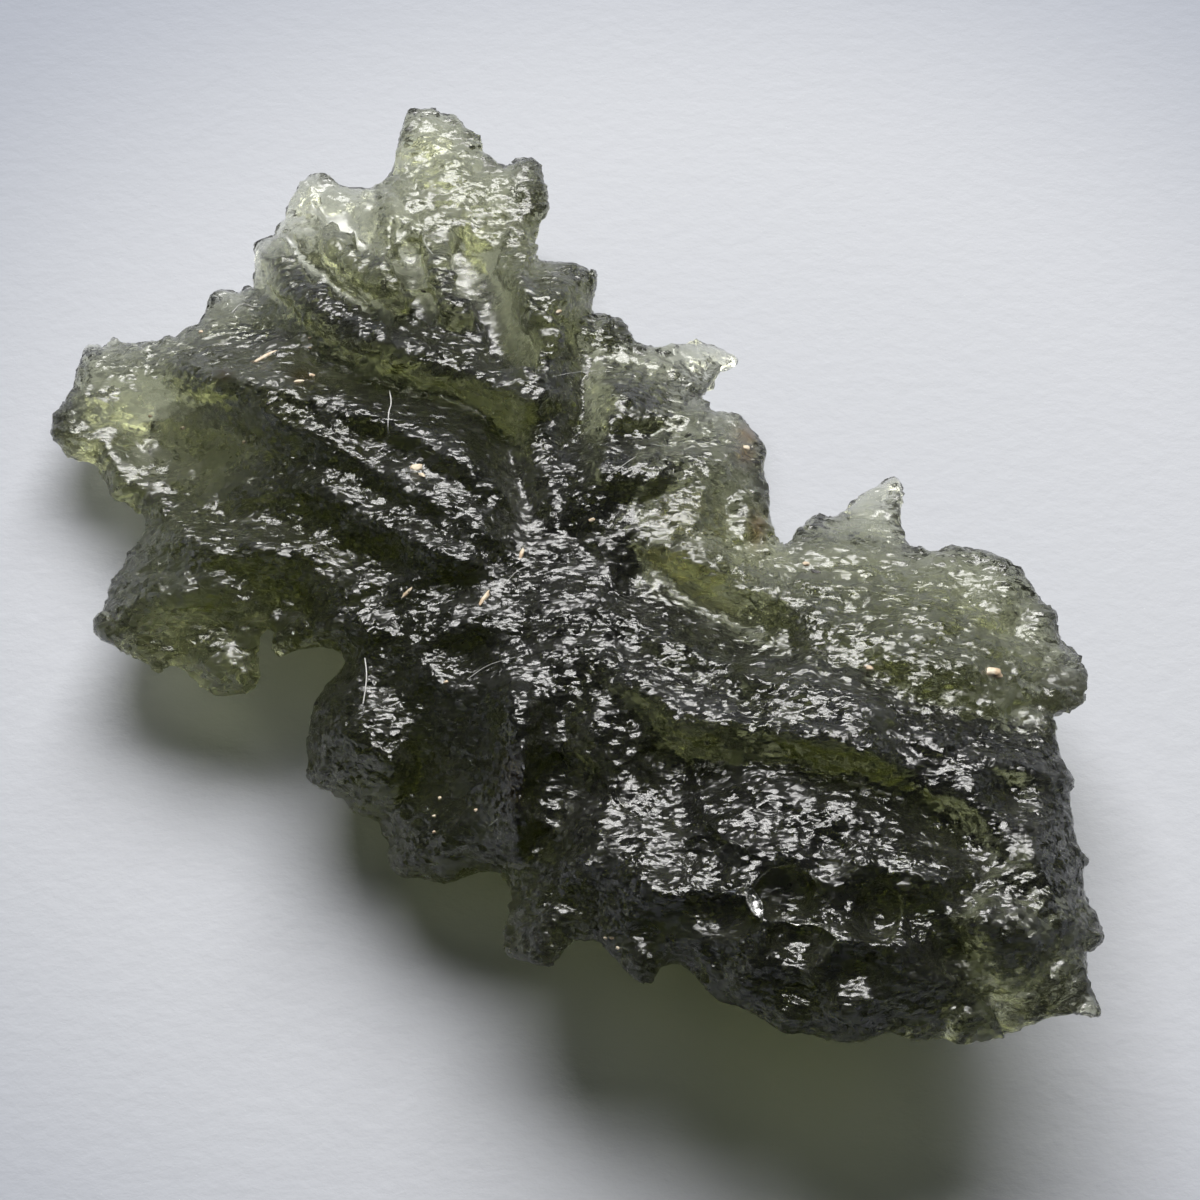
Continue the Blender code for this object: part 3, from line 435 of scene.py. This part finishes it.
def hollows(plan):
    """Depth in millimetres of the broad shallow hollows."""
    depth = np.zeros(len(plan))
    for half_width, deep, places in HOLLOWS:
        depth += deep * np.exp(-(beside(plan, places)[0] / half_width) ** 2)
    return depth


def stains(plan):
    """1 in the middle of a rust stain, 0 away from it."""
    stained = np.zeros(len(plan))
    for across, up, long, short in STAINS:
        one, other = (plan - (across, up)).T
        stained = np.maximum(stained, np.exp(-((one / long) ** 2 + (other / short) ** 2)))
    return stained


def keep_values(mesh, name, values):
    """Stores one number per vertex for a material to read."""
    layer = mesh.attributes.new(name, "FLOAT", "POINT")
    layer.data.foreach_set("value", values.astype(np.float32))


def add_relief(piece, settings):
    """Moves the skin in and out by the ribs, flakes, bands and hollows that etching left."""
    mesh = piece.data
    points, normals = coordinates(mesh), vertex_normals(mesh)
    to_eye = eye_point() - points
    to_eye /= np.linalg.norm(to_eye, axis=1)[:, None]
    facing = (normals * to_eye).sum(axis=1)
    seen = facing > 0
    body = np.clip(np.abs(facing) / RIM_FACING, 0, 1)
    plan = plan_of(points)
    height_mm = points[:, 2] / METRES_PER_MM
    smooth = smoothness(plan) * seen
    depth, floor = bands(plan)
    wrinkled = (1 - CALM_IN_SMOOTH * smooth) * (1 - CALM_ON_FLOORS * floor * seen)
    stretched = points * STRETCH
    thickness = glass_thickness(mesh, points, normals)
    thin = np.clip((mm(THIN_MM) - thickness) / mm(THIN_FALL_MM), 0, 1)
    ribs = creased(flow_ribs(plan, height_mm, RIB_SEED))
    flakes = facets(stretched, FLAKE_SIZE_MM, FLAKE_SEED)
    wrinkles = creased(grain(stretched, WRINKLE_SIZE_MM, WRINKLE_SEED))
    lift = settings.rib_height * ribs
    lift += settings.flake_height * flakes * (1 + FLAKES_ON_THIN * thin)
    lift += settings.wrinkle_height * thin * wrinkles
    lift *= body * wrinkled
    lift -= mm(depth + hollows(plan)) * seen
    lift += mm(RIM_HEIGHT_MM) * grain(points, RIM_GRAIN_MM, RIM_SEED) * (1 - body)
    lift = np.clip(lift, -DEEPEST * thickness, HIGHEST * thickness)
    points += normals * lift[:, None]
    points[:, 2] = np.maximum(points[:, 2], mm(FEET_MM))
    mesh.vertices.foreach_set("co", points.astype(np.float32).ravel())
    keep_values(mesh, "wrinkled", wrinkled * (1 - BUMP_LOST_ON_THIN * thin))
    keep_values(mesh, "stained", stains(plan) * seen)
    mesh.update()


def new_material(name):
    """An empty material, its nodes, its links and its surface shader."""
    material = bpy.data.materials.new(name)
    material.use_nodes = True
    nodes, links = material.node_tree.nodes, material.node_tree.links
    return material, nodes, links, nodes["Principled BSDF"]


def scaled_place(nodes, links, per_metre):
    """The object's own coordinates, and the same times a scale."""
    place = nodes.new("ShaderNodeTexCoord").outputs["Object"]
    scaled = nodes.new("ShaderNodeMapping")
    scaled.inputs["Scale"].default_value = per_metre
    links.new(place, scaled.inputs["Vector"])
    return place, scaled.outputs["Vector"]


def noise_node(nodes, links, vector, scale, detail, roughness):
    """Noise with this many features to the millimetre."""
    texture = nodes.new("ShaderNodeTexNoise")
    texture.inputs["Scale"].default_value = scale
    texture.inputs["Detail"].default_value = detail
    texture.inputs["Roughness"].default_value = roughness
    links.new(vector, texture.inputs["Vector"])
    return texture


def leaning_cells(nodes, links, vector, scale):
    """Height of tiny flat flakes, this many to the millimetre, that each lean their own way."""
    scaled = nodes.new("ShaderNodeVectorMath")
    scaled.operation = "SCALE"
    scaled.inputs["Scale"].default_value = scale
    links.new(vector, scaled.inputs[0])
    cells = nodes.new("ShaderNodeTexVoronoi")
    cells.inputs["Scale"].default_value = 1.0
    links.new(scaled.outputs["Vector"], cells.inputs["Vector"])
    offset = nodes.new("ShaderNodeVectorMath")
    offset.operation = "SUBTRACT"
    links.new(scaled.outputs["Vector"], offset.inputs[0])
    links.new(cells.outputs["Position"], offset.inputs[1])
    lean = nodes.new("ShaderNodeVectorMath")
    lean.operation = "SUBTRACT"
    lean.inputs[1].default_value = HALF
    links.new(cells.outputs["Color"], lean.inputs[0])
    height = nodes.new("ShaderNodeVectorMath")
    height.operation = "DOT_PRODUCT"
    links.new(offset.outputs["Vector"], height.inputs[0])
    links.new(lean.outputs["Vector"], height.inputs[1])
    return height.outputs["Value"]


def moldavite_glass(settings):
    """Clear olive glass with a finely flaked skin and a few rust stains."""
    material, nodes, links, shader = new_material("moldavite_glass")
    vector = scaled_place(nodes, links, GLASS_PER_METRE)[1]
    mask = nodes.new("ShaderNodeAttribute")
    mask.attribute_name = "wrinkled"
    finest = noise_node(nodes, links, vector, FINEST_SCALE, FINEST_DETAIL, FINEST_ROUGHNESS)
    both = nodes.new("ShaderNodeMath")
    both.operation = "MULTIPLY_ADD"
    both.inputs[1].default_value = FINEST_SHARE
    links.new(finest.outputs["Fac"], both.inputs[0])
    links.new(leaning_cells(nodes, links, vector, CELLS_SCALE), both.inputs[2])
    strength = nodes.new("ShaderNodeMapRange")
    strength.inputs["To Min"].default_value = LEAST_BUMP
    links.new(mask.outputs["Fac"], strength.inputs["Value"])
    bump = nodes.new("ShaderNodeBump")
    bump.inputs["Distance"].default_value = GLASS_BUMP
    links.new(strength.outputs["Result"], bump.inputs["Strength"])
    links.new(both.outputs["Value"], bump.inputs["Height"])
    links.new(bump.outputs["Normal"], shader.inputs["Normal"])
    patch = noise_node(nodes, links, vector, PATCH_SCALE, PATCH_DETAIL, PATCH_ROUGHNESS)
    gloss = nodes.new("ShaderNodeMapRange")
    gloss.inputs["From Min"].default_value = PATCH_LOW
    gloss.inputs["From Max"].default_value = PATCH_HIGH
    gloss.inputs["To Min"].default_value = settings.roughness * LEAST_ROUGH
    gloss.inputs["To Max"].default_value = settings.roughness * MOST_ROUGH
    links.new(patch.outputs["Fac"], gloss.inputs["Value"])
    links.new(gloss.outputs["Result"], shader.inputs["Roughness"])
    tint = nodes.new("ShaderNodeValToRGB")
    tint.color_ramp.elements[0].color = TINT_DARK
    tint.color_ramp.elements[1].color = TINT_LIGHT
    links.new(patch.outputs["Fac"], tint.inputs["Fac"])
    rust = nodes.new("ShaderNodeMix")
    rust.data_type = "RGBA"
    stained = nodes.new("ShaderNodeAttribute")
    stained.attribute_name = "stained"
    links.new(stained.outputs["Fac"], rust.inputs["Factor"])
    links.new(tint.outputs["Color"], rust.inputs["A"])
    rust.inputs["B"].default_value = RUST
    links.new(rust.outputs["Result"], shader.inputs["Base Color"])
    shader.inputs["Transmission Weight"].default_value = CLEARNESS
    shader.inputs["IOR"].default_value = settings.refraction
    absorption = nodes.new("ShaderNodeVolumeAbsorption")
    absorption.inputs["Color"].default_value = (*settings.body_colour, 1.0)
    absorption.inputs["Density"].default_value = settings.depth_per_metre
    links.new(absorption.outputs["Volume"], nodes["Material Output"].inputs["Volume"])
    return material


class MOLDAVITE_OT_stone(bpy.types.Operator):
    """Makes the stone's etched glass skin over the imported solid"""

    bl_idname = "moldavite.stone"
    bl_label = "Stone"

    def execute(self, context):
        settings = context.scene.moldavite_stone
        stone = refined_copy(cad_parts[STONE_NODE], "etched_stone")
        add_relief(stone, settings)
        alone(stone)
        bpy.ops.object.shade_smooth()
        stone.data.materials.clear()
        stone.data.materials.append(moldavite_glass(settings))
        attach(stone, "root")
        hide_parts(STONE_NODE)
        return {"FINISHED"}


def skin_tree():
    """The finished stone's skin, ready to be met by lines of sight."""
    stone = bpy.data.objects["etched_stone"]
    return BVHTree.FromPolygons(
        [tuple(v.co) for v in stone.data.vertices],
        [tuple(f.vertices) for f in stone.data.polygons])


def on_skin(tree, across, up):
    """Place of the skin that the eye sees at a place in the plan, and its way out there."""
    eye, way = line_of_sight(across, up)
    place, normal = tree.ray_cast(eye, way.normalized())[:2]
    if place is None:
        raise RuntimeError(f"no skin at {across}, {up}")
    return place, (normal + UPRIGHT).normalized()


def grain_of_sand(place, normal, long, short, degrees, seed):
    """An angular grain, half sunk in the skin."""
    bpy.ops.object.select_all(action="DESELECT")
    bpy.ops.mesh.primitive_ico_sphere_add(subdivisions=3, radius=0.5)
    grain_piece = bpy.context.active_object
    mesh = grain_piece.data
    points = coordinates(mesh)
    bulge = np.array([noise.noise(tuple(p * BULGE_SCALE + seed)) for p in points])
    cuts = np.array([noise.cell(tuple(p * CUT_SCALE + seed)) for p in points])
    points *= (1 + BULGE * bulge + CUT * cuts)[:, None]
    points *= (mm(long), mm(short), mm(min(long, short) * GRAIN_HEIGHT))
    across = (Vector((1, 0, 0)) - normal * normal.x).normalized()
    turn = Matrix((across, normal.cross(across), normal)).transposed()
    spin = Matrix.Rotation(math.radians(degrees), 3, "Z")
    points = points @ np.array(turn @ spin).T + np.array(place)
    mesh.vertices.foreach_set("co", points.astype(np.float32).ravel())
    mesh.update()
    return grain_piece


def join(pieces, name):
    """Makes one named object of many."""
    bpy.ops.object.select_all(action="DESELECT")
    for piece in pieces:
        piece.select_set(True)
    bpy.context.view_layer.objects.active = pieces[0]
    bpy.ops.object.join()
    pieces[0].name = pieces[0].data.name = name
    return pieces[0]


def mineral(name, light, dark, features):
    """A dull mineral with two tones in patches this many to the millimetre."""
    material, nodes, links, shader = new_material(name)
    vector = scaled_place(nodes, links, MINERAL_PER_METRE)[1]
    speckle = noise_node(nodes, links, vector, features, SPECKLE_DETAIL, SPECKLE_ROUGHNESS)
    tones = nodes.new("ShaderNodeValToRGB")
    tones.color_ramp.elements[0].position = TONE_LOW
    tones.color_ramp.elements[1].position = TONE_HIGH
    tones.color_ramp.elements[0].color = (*dark, 1.0)
    tones.color_ramp.elements[1].color = (*light, 1.0)
    links.new(speckle.outputs["Fac"], tones.inputs["Fac"])
    links.new(tones.outputs["Color"], shader.inputs["Base Color"])
    bump = nodes.new("ShaderNodeBump")
    bump.inputs["Distance"].default_value = MINERAL_BUMP
    links.new(speckle.outputs["Fac"], bump.inputs["Height"])
    links.new(bump.outputs["Normal"], shader.inputs["Normal"])
    shader.inputs["Roughness"].default_value = MINERAL_ROUGHNESS
    return material


def finish_piece(piece, material):
    """Gives a joined piece its material and its soft edges, and lets it ride the stone."""
    piece.data.materials.clear()
    piece.data.materials.append(material)
    alone(piece)
    bpy.ops.object.shade_smooth_by_angle(angle=SMOOTH_ANGLE)
    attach(piece, "root")


class MOLDAVITE_OT_sand(bpy.types.Operator):
    """Sets the sand grains and flakes that are caught in the skin's pits"""

    bl_idname = "moldavite.sand"
    bl_label = "Sand"

    def execute(self, context):
        tree = skin_tree()
        cream = [grain_of_sand(*on_skin(tree, *row[:2]), *row[2:], seed)
                 for seed, row in enumerate(CREAM_GRAINS)]
        for seed, (start, end, width) in enumerate(FLAKES):
            middle = (np.array(start) + end) / 2
            length = math.dist(start, end)
            degrees = math.degrees(math.atan2(end[1] - start[1], end[0] - start[0]))
            cream.append(grain_of_sand(*on_skin(tree, *middle), length, width, degrees,
                                       FLAKE_SEEDS_FROM + seed))
        finish_piece(join(cream, "cream_grains"), mineral("cream_sand", *CREAM_SAND))
        dark = [grain_of_sand(*on_skin(tree, *row[:2]), *row[2:], DARK_SEEDS_FROM + seed)
                for seed, row in enumerate(DARK_GRAINS)]
        finish_piece(join(dark, "dark_grains"), mineral("dark_sand", *DARK_SAND))
        return {"FINISHED"}


def fibre(tree, thickness, places):
    """A round fibre through points that stand off the skin."""
    curve = bpy.data.curves.new("fibre", "CURVE")
    curve.dimensions = "3D"
    curve.resolution_u = 8
    curve.bevel_depth = mm(thickness) / 2
    curve.bevel_resolution = 2
    curve.use_fill_caps = True
    spline = curve.splines.new("BEZIER")
    spline.bezier_points.add(len(places) - 1)
    for knot, (across, up, lift) in zip(spline.bezier_points, places):
        place, normal = on_skin(tree, across, up)
        knot.co = place + normal * mm(lift)
        knot.handle_left_type = knot.handle_right_type = "AUTO"
    piece = bpy.data.objects.new("fibre", curve)
    bpy.context.scene.collection.objects.link(piece)
    alone(piece)
    bpy.ops.object.convert(target="MESH")
    return bpy.context.active_object


class MOLDAVITE_OT_lint(bpy.types.Operator):
    """Lays the lint fibres that cling to the ridges"""

    bl_idname = "moldavite.lint"
    bl_label = "Lint"

    def execute(self, context):
        tree = skin_tree()
        fibres = [fibre(tree, thickness, places) for thickness, places in FIBRES]
        finish_piece(join(fibres, "lint_fibres"), mineral("cotton_lint", *COTTON))
        return {"FINISHED"}


def paper(settings):
    """Pale paper with a faint tooth, its colour painted darker and bluer away from the stone:
    painted shade for light that falls off towards the edges.
    """
    material, nodes, links, shader = new_material("pale_paper")
    place, vector = scaled_place(nodes, links, PAPER_PER_METRE)
    fibres = noise_node(nodes, links, vector, TOOTH_SCALE, TOOTH_DETAIL, TOOTH_ROUGHNESS)
    bump = nodes.new("ShaderNodeBump")
    bump.inputs["Distance"].default_value = PAPER_BUMP
    bump.inputs["Strength"].default_value = PAPER_BUMP_STRENGTH
    links.new(fibres.outputs["Fac"], bump.inputs["Height"])
    links.new(bump.outputs["Normal"], shader.inputs["Normal"])
    from_middle = nodes.new("ShaderNodeVectorMath")
    from_middle.operation = "DISTANCE"
    from_middle.inputs[1].default_value = (mm(SHADE_MIDDLE_MM), 0.0, 0.0)
    links.new(place, from_middle.inputs[0])
    # Painted shade: the paper darkens and turns bluer with distance from the middle.
    painted_edge_shade = nodes.new("ShaderNodeMapRange")
    painted_edge_shade.interpolation_type = "SMOOTHSTEP"
    painted_edge_shade.inputs["From Min"].default_value = mm(SHADE_FROM_MM)
    painted_edge_shade.inputs["From Max"].default_value = mm(SHADE_TO_MM)
    links.new(from_middle.outputs["Value"], painted_edge_shade.inputs["Value"])
    shade = nodes.new("ShaderNodeMix")
    shade.data_type = "RGBA"
    links.new(painted_edge_shade.outputs["Result"], shade.inputs["Factor"])
    shade.inputs["A"].default_value = (*settings.paper_colour, 1.0)
    shade.inputs["B"].default_value = (*settings.painted_edge_shade_colour, 1.0)
    links.new(shade.outputs["Result"], shader.inputs["Base Color"])
    shader.inputs["Roughness"].default_value = PAPER_ROUGHNESS
    return material


def add_window(settings, name, share, through_glass):
    """A rectangle of even light that faces the stone."""
    target = Vector(PLAN_ORIGIN_MM * METRES_PER_MM)
    level = math.cos(WINDOW_ELEVATION)
    away = Vector((math.sin(WINDOW_AZIMUTH) * level, math.cos(WINDOW_AZIMUTH) * level,
                   math.sin(WINDOW_ELEVATION)))
    light = bpy.data.lights.new(name, "AREA")
    light.shape = "RECTANGLE"
    light.size = 2 * WINDOW_DISTANCE * math.tan(WINDOW_WIDE / 2)
    light.size_y = 2 * WINDOW_DISTANCE * math.tan(WINDOW_HIGH / 2)
    light.energy = share * settings.window_radiance * math.pi * light.size * light.size_y
    light.color = WINDOW_COLOUR
    lamp = bpy.data.objects.new(name, light)
    lamp.location = target + away * WINDOW_DISTANCE
    lamp.rotation_euler = away.to_track_quat("Z", "Y").to_euler()
    lamp.visible_transmission = through_glass
    bpy.context.scene.collection.objects.link(lamp)


def add_card(across, up, half_wide, half_high, radiance):
    """A small glowing card under a thin lobe, seen only through the glass."""
    eye, way = line_of_sight(across, up)
    light = bpy.data.lights.new("card", "AREA")
    light.shape = "ELLIPSE"
    light.size, light.size_y = mm(2 * half_wide), mm(2 * half_high)
    light.energy = radiance * math.pi**2 / 4 * light.size * light.size_y
    lamp = bpy.data.objects.new("card", light)
    lamp.location = eye + way * ((mm(CARD_HEIGHT_MM) - eye.z) / way.z)
    lamp.rotation_euler = (math.pi, 0, 0)
    lamp.visible_camera = lamp.visible_diffuse = lamp.visible_glossy = False
    bpy.context.scene.collection.objects.link(lamp)


class MOLDAVITE_OT_stage(bpy.types.Operator):
    """Lays the paper, hangs the window light and sets up the camera"""

    bl_idname = "moldavite.stage"
    bl_label = "Stage"

    def execute(self, context):
        settings = context.scene.moldavite_stage
        bpy.ops.object.select_all(action="DESELECT")
        bpy.ops.mesh.primitive_plane_add(size=PAPER_SIZE, location=(0, 0, 0))
        floor = context.active_object
        floor.name = "paper_floor"
        floor.data.materials.append(paper(settings))
        for row in WINDOWS:
            add_window(settings, *row)
        for row in CARDS:
            add_card(*row)
        world = bpy.data.worlds.new("room")
        world.use_nodes = True
        background = world.node_tree.nodes["Background"]
        background.inputs["Color"].default_value = ROOM_COLOUR
        background.inputs["Strength"].default_value = settings.room_light
        context.scene.world = world
        lens = bpy.data.cameras.new("eye")
        lens.sensor_fit = "HORIZONTAL"
        lens.angle = 2 * math.atan(FRAME_WIDTH_MM / 2 / EYE_DISTANCE_MM)
        lens.clip_start, lens.clip_end = CLIP_START, CLIP_END
        eye = bpy.data.objects.new("eye", lens)
        eye.location = eye_point()
        target = Vector((PLAN_ORIGIN_MM + (0, 0, PLAN_HEIGHT_MM)) * METRES_PER_MM)
        eye.rotation_euler = (target - eye.location).to_track_quat("-Z", "Y").to_euler()
        context.scene.collection.objects.link(eye)
        context.scene.camera = eye
        context.scene.view_settings.view_transform = "Standard"
        context.scene.cycles.use_denoising = True
        return {"FINISHED"}


class MOLDAVITE_PT_panel(bpy.types.Panel):
    """Lists the pieces"""

    bl_label = "Moldavite"
    bl_idname = "MOLDAVITE_PT_panel"
    bl_space_type = "VIEW_3D"
    bl_region_type = "UI"
    bl_category = "Moldavite"

    def draw(self, context):
        for group in (context.scene.moldavite_stone, context.scene.moldavite_stage):
            for name in group.__annotations__:
                self.layout.prop(group, name)
        for operator in OPERATORS:
            self.layout.operator(operator.bl_idname)


OPERATORS = (MOLDAVITE_OT_stage, MOLDAVITE_OT_stone, MOLDAVITE_OT_sand, MOLDAVITE_OT_lint)
CLASSES = (StoneSettings, StageSettings, *OPERATORS, MOLDAVITE_PT_panel)


def register():
    """Makes the settings, the operators and the panel known to Blender."""
    for kind in CLASSES:
        bpy.utils.register_class(kind)
    bpy.types.Scene.moldavite_stone = bpy.props.PointerProperty(type=StoneSettings)
    bpy.types.Scene.moldavite_stage = bpy.props.PointerProperty(type=StageSettings)


def unregister():
    """Takes back what register() did."""
    del bpy.types.Scene.moldavite_stage
    del bpy.types.Scene.moldavite_stone
    for kind in reversed(CLASSES):
        bpy.utils.unregister_class(kind)


def main():
    """Makes every piece in order."""
    register()
    bpy.ops.moldavite.stage()
    bpy.ops.moldavite.stone()
    bpy.ops.moldavite.sand()
    bpy.ops.moldavite.lint()


if __name__ == "__main__":
    main()
